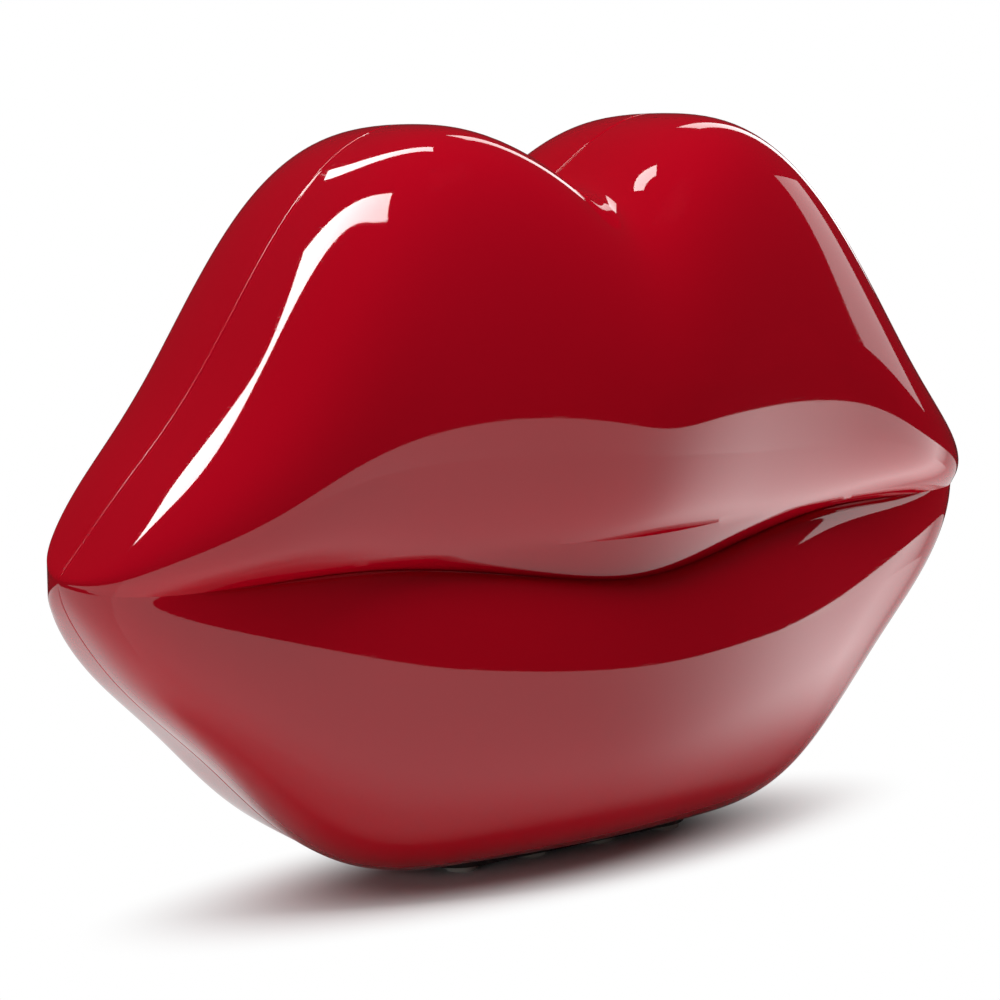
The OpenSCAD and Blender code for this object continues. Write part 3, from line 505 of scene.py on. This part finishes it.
def noise(tree, coords, size_mm, detail=2.0, stretch=(1, 1, 1)):
    """Noise whose features are about size_mm wide, longer along an axis with a stretch below 1."""
    scaled = add(tree, "ShaderNodeMapping", {"Vector": coords, "Scale": stretch})
    return add(tree, "ShaderNodeTexNoise", {"Vector": scaled.outputs[0], "Scale": 1000 / size_mm,
                                            "Detail": detail}).outputs[0]


def ranged(tree, value, low, high, to_low, to_high):
    """A value carried from one range to another, held inside the second."""
    return add(tree, "ShaderNodeMapRange", {"Value": value, "From Min": low, "From Max": high,
                                            "To Min": to_low, "To Max": to_high}).outputs[0]


def toned(tree, value, dark, light):
    """A colour between two hex colours."""
    ramp = add(tree, "ShaderNodeValToRGB", {"Fac": value})
    ramp.color_ramp.elements[0].color, ramp.color_ramp.elements[1].color = linear(dark), linear(light)
    return ramp.outputs["Color"]


def grain(tree, height, depth_mm):
    """A bump from a height map of the given depth in millimetres."""
    return add(tree, "ShaderNodeBump", {"Height": height, "Distance": depth_mm * MM}).outputs["Normal"]


def polished_red():
    """Injection-moulded ABS, polished: a wet-looking red whose mirror is broken only by hairlines and dust."""
    made, tree, coords = surface("polished_moulded_red_ABS")
    hair = noise(tree, coords, 0.25, 2, (0.04, 0.05, 1))
    hair = ranged(tree, hair, 0.62, 0.75, 0, 1)
    dust = add(tree, "ShaderNodeTexVoronoi", {"Vector": coords, "Scale": 1000 / 11}, feature="F1")
    dust = ranged(tree, dust.outputs["Distance"], 0.012, 0.018, 1, 0)
    worn = add(tree, "ShaderNodeMath", {0: hair, 1: dust}, operation="MAXIMUM").outputs[0]
    rough = ranged(tree, worn, 0, 1, 0.03, 0.09)
    shade = toned(tree, noise(tree, coords, 60, 1), "#b80218", "#c20521")
    shader = add(tree, "ShaderNodeBsdfPrincipled", {
        "Base Color": shade, "Roughness": rough, "IOR": 1.57,
        "Normal": grain(tree, worn, 0.0004)})
    finish_surface(tree, shader)
    return made


def moulded(name, dark, light, rough, size_mm, depth_mm):
    """A moulded plastic or rubber: two close tones, a roughness that wanders and a fine moulded grain."""
    made, tree, coords = surface(name)
    wander = noise(tree, coords, 12, 3)
    shader = add(tree, "ShaderNodeBsdfPrincipled", {
        "Base Color": toned(tree, wander, dark, light),
        "Roughness": ranged(tree, wander, 0.3, 0.7, rough - 0.06, rough + 0.06),
        "Normal": grain(tree, noise(tree, coords, size_mm, 2), depth_mm)})
    finish_surface(tree, shader)
    return made


def metal(name, dark, light, rough, stretch):
    """A bright metal: close tones and a brushed or drawn grain along one axis that streaks the reflections."""
    made, tree, coords = surface(name)
    drawn = noise(tree, coords, 0.4, 2, stretch)
    shader = add(tree, "ShaderNodeBsdfPrincipled", {
        "Base Color": toned(tree, noise(tree, coords, 5, 2), dark, light), "Metallic": 1.0,
        "Roughness": ranged(tree, drawn, 0.3, 0.7, rough - 0.06, rough + 0.08),
        "Normal": grain(tree, drawn, 0.006)})
    finish_surface(tree, shader)
    return made


def board():
    """Epoxy glass board under solder mask: tracks show as paler ribs in the green."""
    made, tree, coords = surface("solder_masked_glass_epoxy")
    wave = add(tree, "ShaderNodeTexWave", {"Vector": coords, "Scale": 1000 / 12, "Distortion": 3.0},
               bands_direction="DIAGONAL")
    tracks = ranged(tree, wave.outputs["Fac"], 0.62, 0.68, 0, 1)
    shader = add(tree, "ShaderNodeBsdfPrincipled", {
        "Base Color": toned(tree, tracks, "#1f5630", "#3b7a46"), "Roughness": 0.32,
        "Normal": grain(tree, tracks, 0.03)})
    finish_surface(tree, shader)
    return made


red = polished_red()
finishes = {
    "red_shell": red,
    "dark_plastic": moulded("spark_eroded_dark_ABS", "#242120", "#2f2c2a", 0.5, 0.35, 0.03),
    "key_caps": moulded("satin_ivory_ABS", "#ddd6c8", "#e8e2d6", 0.36, 0.6, 0.006),
    "red_keys": moulded("satin_red_ABS", "#a50a20", "#b51226", 0.33, 0.6, 0.006),
    "rubber": moulded("milky_silicone_rubber", "#a39e97", "#b8b3ab", 0.4, 0.8, 0.01),
    "circuit_board": board(),
    "black_moulding": moulded("black_glass_filled_nylon", "#171718", "#222224", 0.45, 0.5, 0.015),
    "blue_sleeve": moulded("shrunk_PVC_sleeve", "#22386a", "#2e4a7c", 0.3, 3, 0.02),
    "grey_cable": moulded("ribbed_grey_PVC_cable", "#8f8f8d", "#a4a4a2", 0.45, 1.2, 0.05),
    "red_cable": moulded("red_PVC_insulation", "#9c2c22", "#b3382e", 0.4, 1.5, 0.02),
    "steel": metal("zinc_plated_steel", "#b2b6bb", "#c8cbce", 0.3, (1, 1, 0.1)),
    "brass": metal("drawn_brass_wire", "#c0983f", "#d2ad5c", 0.25, (1, 0.1, 1))}
ink = moulded("dark_pad_printing_ink", "#1d1c1e", "#262528", 0.55, 0.4, 0.004)
white_ink = moulded("white_pad_printing_ink", "#d8d6d0", "#e2e0da", 0.5, 0.4, 0.004)


def dress(thing, finish):
    """Gives an object one material."""
    thing.data.materials.clear()
    thing.data.materials.append(finish)


for row in frame["record"]["subparts"]:
    dress(nodes[row["node"]], finishes[row["material_slot"]])
dress(front, red)
dress(rear, red)
for name, thing in key_objects.items():
    dress(thing, finishes["red_keys" if name.endswith("_key") else "key_caps"])
    dress(legend_objects[name], white_ink if name.endswith("_key") else ink)


# Studio: a white table in a dark room, soft light for the colours and strip lights that only the gloss shows
def smooth_step(tree, value, low, high, most):
    """A value's way from low to high as a smooth share from 0 to the most."""
    return add(tree, "ShaderNodeMapRange", {"Value": value, "From Min": low, "From Max": high, "To Max": most},
               interpolation_type="SMOOTHSTEP").outputs[0]


def floor_glow(tree, coords):
    """A painted glow in place of a lit white floor, as the gloss mirrors it and as it lights the phone from below:
    by the turn about Z, brighter as its square towards the right, a painted pool of light.
    """
    turn = add(tree, "ShaderNodeTexGradient", {"Vector": coords}, gradient_type="RADIAL").outputs["Fac"]
    rising = add(tree, "ShaderNodeMath", {0: ranged(tree, turn, 0.25, 0.467, 0, 1), 1: 2.0}, operation="POWER")
    rising, falling = ranged(tree, rising.outputs[0], 0, 1, 1.0, 3.2), ranged(tree, turn, 0.472, 0.51, 3.2, 0.8)
    glow = add(tree, "ShaderNodeMath", {0: rising, 1: falling}, operation="MINIMUM").outputs[0]
    return add(tree, "ShaderNodeEmission", {"Strength": glow})


def table_material():
    """Matt white laminate. Away from the phone it is plain white to the camera, the painted floor glow to the
    gloss and half that glow to diffuse rays, a painted bounce light on the phone from below, so that only the
    shadow round the phone is drawn on it."""
    made, tree, coords = surface("matt_white_laminate_with_painted_glow")
    shader = add(tree, "ShaderNodeBsdfPrincipled", {
        "Base Color": toned(tree, noise(tree, coords, 30, 2), "#f4f4f4", "#f8f8f8"), "Roughness": 0.55})
    oval = add(tree, "ShaderNodeMapping", {"Vector": coords, "Location": OVAL_SHIFT, "Scale": OVAL_SCALE})
    far = add(tree, "ShaderNodeVectorMath", {0: oval.outputs[0]}, operation="LENGTH").outputs["Value"]
    path = add(tree, "ShaderNodeLightPath")
    # Shares away from the phone: plain white to the camera, the painted floor glow to the gloss, and half of it to
    # diffuse rays as painted bounce light
    seen, mirrored, painted_bounce = (
        add(tree, "ShaderNodeMath", {0: smooth_step(tree, far, *fade), 1: path.outputs[ray]},
            operation="MULTIPLY").outputs[0]
        for ray, fade in (("Is Camera Ray", (0.32, 1.0, 1)), ("Is Glossy Ray", (0.8, 1.7, 1)),
                          ("Is Diffuse Ray", (0.8, 1.7, 0.5))))
    glowing = add(tree, "ShaderNodeMath", {0: mirrored, 1: painted_bounce}, operation="MAXIMUM").outputs[0]
    white = add(tree, "ShaderNodeEmission", {"Strength": 1.0})
    plain = add(tree, "ShaderNodeMixShader", {0: seen, 1: shader.outputs[0], 2: white.outputs[0]})
    finish_surface(tree, add(tree, "ShaderNodeMixShader",
                             {0: glowing, 1: plain.outputs[0], 2: floor_glow(tree, coords).outputs[0]}))
    return made


def studio_floor_material():
    """Glowing white floor far below the table: painted light in place of a lit floor."""
    made, tree, coords = surface("glowing_white_studio_floor")
    finish_surface(tree, floor_glow(tree, coords))
    return made


def diffuser(name, low, high):
    """Lit diffuser cloth whose brightness goes from low to high over 40 cm up."""
    made, tree, coords = surface(name)
    along = add(tree, "ShaderNodeSeparateXYZ", {0: coords}).outputs["Z"]
    glow = ranged(tree, along, -0.05, 0.35, low, high)
    finish_surface(tree, add(tree, "ShaderNodeEmission", {"Strength": glow}))
    return made


def disc(radius, height, count=96):
    """A flat disc as a polar grid: rings of points about the middle, closed round."""
    turn = np.linspace(0, 2 * math.pi, count + 1)
    ring = np.stack([np.cos(turn), np.sin(turn), 0 * turn], -1)
    return patch(np.array([0, 0.5, 1])[:, None, None] * radius * ring + (0, 0, height))


def outward(azimuth, elevation):
    """Unit vectors for an azimuth in degrees from the front towards +X and an elevation."""
    a, e = np.radians(azimuth), np.radians(elevation)
    return np.stack([np.sin(a) * np.cos(e), -np.cos(a) * np.cos(e), np.sin(e) + 0 * a], -1)


def strip_light(far, first_edge, second_edge):
    """A bent strip on a sphere about the phone: between two edges, each a cubic Bezier of (azimuth, elevation)."""
    t, across = np.linspace(0, 1, 33), np.linspace(0, 1, 5)
    azimuth, elevation = (bezier(list(np.array([first_edge, second_edge])[..., k].T), t) for k in (0, 1))
    grid = outward(mix(azimuth[0][:, None], azimuth[1][:, None], across),
                   mix(elevation[0][:, None], elevation[1][:, None], across))
    return patch(LIGHT_TARGET / MM + far * grid)


TABLE_R, STUDIO_FLOOR_R, STUDIO_FLOOR_Z = 215, 4200, -1000
OVAL_SHIFT, OVAL_SCALE = (0.093, 0.133, 0), (1 / 0.097, 1 / 0.03, 1)
LIGHT_TARGET = np.array([0, 0, 0.08])
table = build("table", [disc(TABLE_R, 0)], None, place=False)
dress(table, table_material())
# The studio floor glows with painted light in place of a lit floor; the gloss and diffuse rays see it
studio_floor = build("studio_floor", [disc(STUDIO_FLOOR_R, STUDIO_FLOOR_Z)], None, place=False)
dress(studio_floor, studio_floor_material())
studio_floor.visible_camera = False

# Distance in millimetres, brightness below and above, and the two edges of each strip light
STRIP_LIGHTS = {
    "left_strip": (800, 12, 12, [(205.9, 29.5), (204.4, 39.3), (211.1, 51.3), (234, 61.8)],
                   [(217.8, 27.0), (213.9, 38.2), (218, 50.6), (267.8, 59.3)]),
    "back_strip": (300, 8, 8, [(189.5, 35.5), (188, 48), (187, 56), (175, 66)],
                   [(194, 35.5), (194, 50), (193, 60), (183, 71)]),
    "right_back_card": (800, 2.6, 3.2, [(120, 2), (119, 15), (122, 35), (140, 46)],
                        [(130, 2), (128, 15), (129, 33), (150, 41)]),
    "right_card": (200, 2.8, 1.0, [(63, 3.5), (66, 11), (74, 20), (78.5, 36)],
                   [(77.5, -1), (79, 12), (86, 17), (95, 28)]),
}
for name, (far, low, high, first_edge, second_edge) in STRIP_LIGHTS.items():
    strip = build(name, [strip_light(far, first_edge, second_edge)], None, place=False)
    dress(strip, diffuser("lit_diffuser_cloth_" + name, low, high))
    strip.visible_camera = strip.visible_diffuse = strip.visible_shadow = False


def placed(right, up, back, spot):
    """Matrix of a camera or a light from its three directions and its place."""
    return Matrix(np.vstack([np.column_stack([right, up, back, spot]), [0, 0, 0, 1]]).tolist())


# Azimuth, elevation, side and share of full white that each soft light gives a face turned to it
LIGHT_FAR = 0.8
SOFTBOXES = {
    "overhead": (-20, 82, 0.3, 0.85),
    "left_front": (-75, 4, 0.4, 0.17),
    "front": (10, 5, 0.4, 0.01),
    "back_top": (180, 60, 0.5, 0.05),
    "left_back": (-135, 30, 0.5, 0.06),
    "right": (90, 5, 0.5, 0.05),
    "back": (180, 12, 0.6, 0.45),
}
for name, (azimuth, elevation, side, share) in SOFTBOXES.items():
    out = outward(azimuth, elevation)
    level = outward(azimuth + 90, 0)
    light = bpy.data.lights.new(name, "AREA")
    light.shape, light.size = "SQUARE", side
    light.energy = share * (math.pi * LIGHT_FAR) ** 2
    holder = bpy.data.objects.new(name, light)
    holder.matrix_world = placed(level, np.cross(out, level), out, LIGHT_TARGET + LIGHT_FAR * out)
    holder.visible_glossy = False
    bpy.context.scene.collection.objects.link(holder)

world = bpy.data.worlds.new("dark_studio")
world.use_nodes = True
bpy.context.scene.world = world
tree = world.node_tree
tree.nodes.clear()
room = add(tree, "ShaderNodeBackground", {"Strength": 0.03})
white = add(tree, "ShaderNodeBackground", {"Color": (1, 1, 1, 1), "Strength": 1.0})
seen = add(tree, "ShaderNodeLightPath").outputs["Is Camera Ray"]
blend = add(tree, "ShaderNodeMixShader", {0: seen, 1: room.outputs[0], 2: white.outputs[0]})
add(tree, "ShaderNodeOutputWorld", {"Surface": blend.outputs[0]})

# Camera: turned to the phone's left and raised, as far away as the perspective of the photo shows
CAMERA_TURN, CAMERA_RISE, CAMERA_FAR = math.radians(33.909), math.radians(11.05), 0.570092
CAMERA_ASIDE, CAMERA_UP = -0.005602, -0.001211
LENS, SENSOR = 106.116, 36.0
forward = np.array([math.sin(CAMERA_TURN) * math.cos(CAMERA_RISE), math.cos(CAMERA_TURN) * math.cos(CAMERA_RISE),
                    -math.sin(CAMERA_RISE)])
right = np.array([math.cos(CAMERA_TURN), -math.sin(CAMERA_TURN), 0])
up = np.cross(right, forward)
aim = np.array([0, SEAM_Y, LIFT + 65]) * MM
spot = aim - CAMERA_FAR * forward + CAMERA_ASIDE * right + CAMERA_UP * up
camera = bpy.data.cameras.new("camera")
camera.lens, camera.sensor_width = LENS, SENSOR
camera_object = bpy.data.objects.new("camera", camera)
camera_object.matrix_world = placed(right, up, -forward, spot)
bpy.context.scene.collection.objects.link(camera_object)
bpy.context.scene.camera = camera_object
bpy.context.scene.view_settings.view_transform = "Standard"
